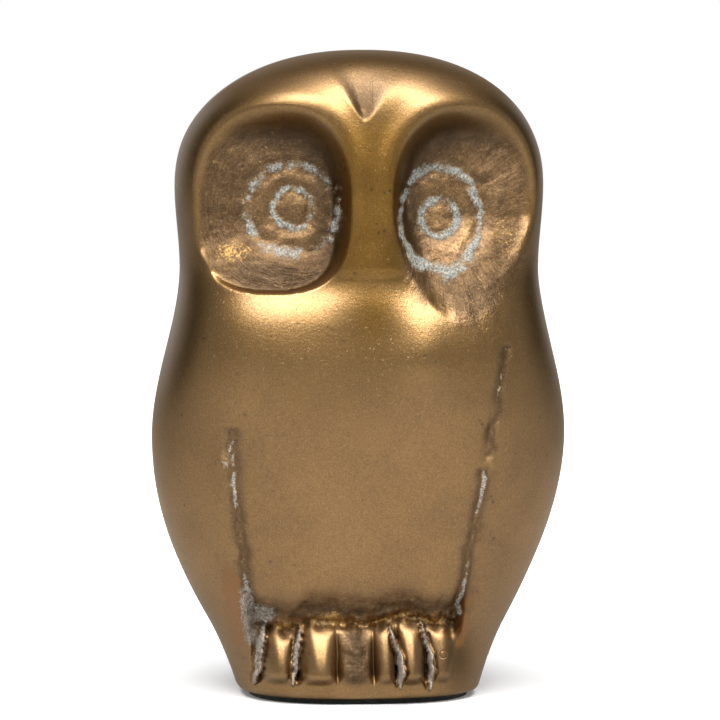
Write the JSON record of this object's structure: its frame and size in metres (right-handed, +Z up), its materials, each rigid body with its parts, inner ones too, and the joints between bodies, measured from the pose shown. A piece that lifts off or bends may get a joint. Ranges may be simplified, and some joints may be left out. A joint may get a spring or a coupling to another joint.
{
  "type": "owl figurine",
  "caption": "Standing owl figurine: hollow satin brass casting with round eye sockets, folded wings and toes, closed underneath by a plate and a felt pad.",
  "frame": {"origin": "middle of the felt's lower face, which the figurine rests on", "axes": "+Z up through the crown, -Y out of the owl's face, +X to the right of someone who faces the owl"},
  "size_m": [0.0641, 0.0496, 0.1],
  "materials": {
    "cast_brass": "satin, worn brown-gold patina, raw cast skin in the hollows",
    "plate_brass": "rolled sheet, fine brushed",
    "screw_brass": "turned, slightly dull",
    "pin_brass": "dark, cut flush with the skin",
    "felt": "dark green-black wool felt"
  },
  "bodies": {
    "root": {"cast_body": "cast_brass", "base_plate": "plate_brass", "base_screws": "screw_brass", "core_pins": "pin_brass", "felt_pad": "felt"}
  },
  "joints": []
}
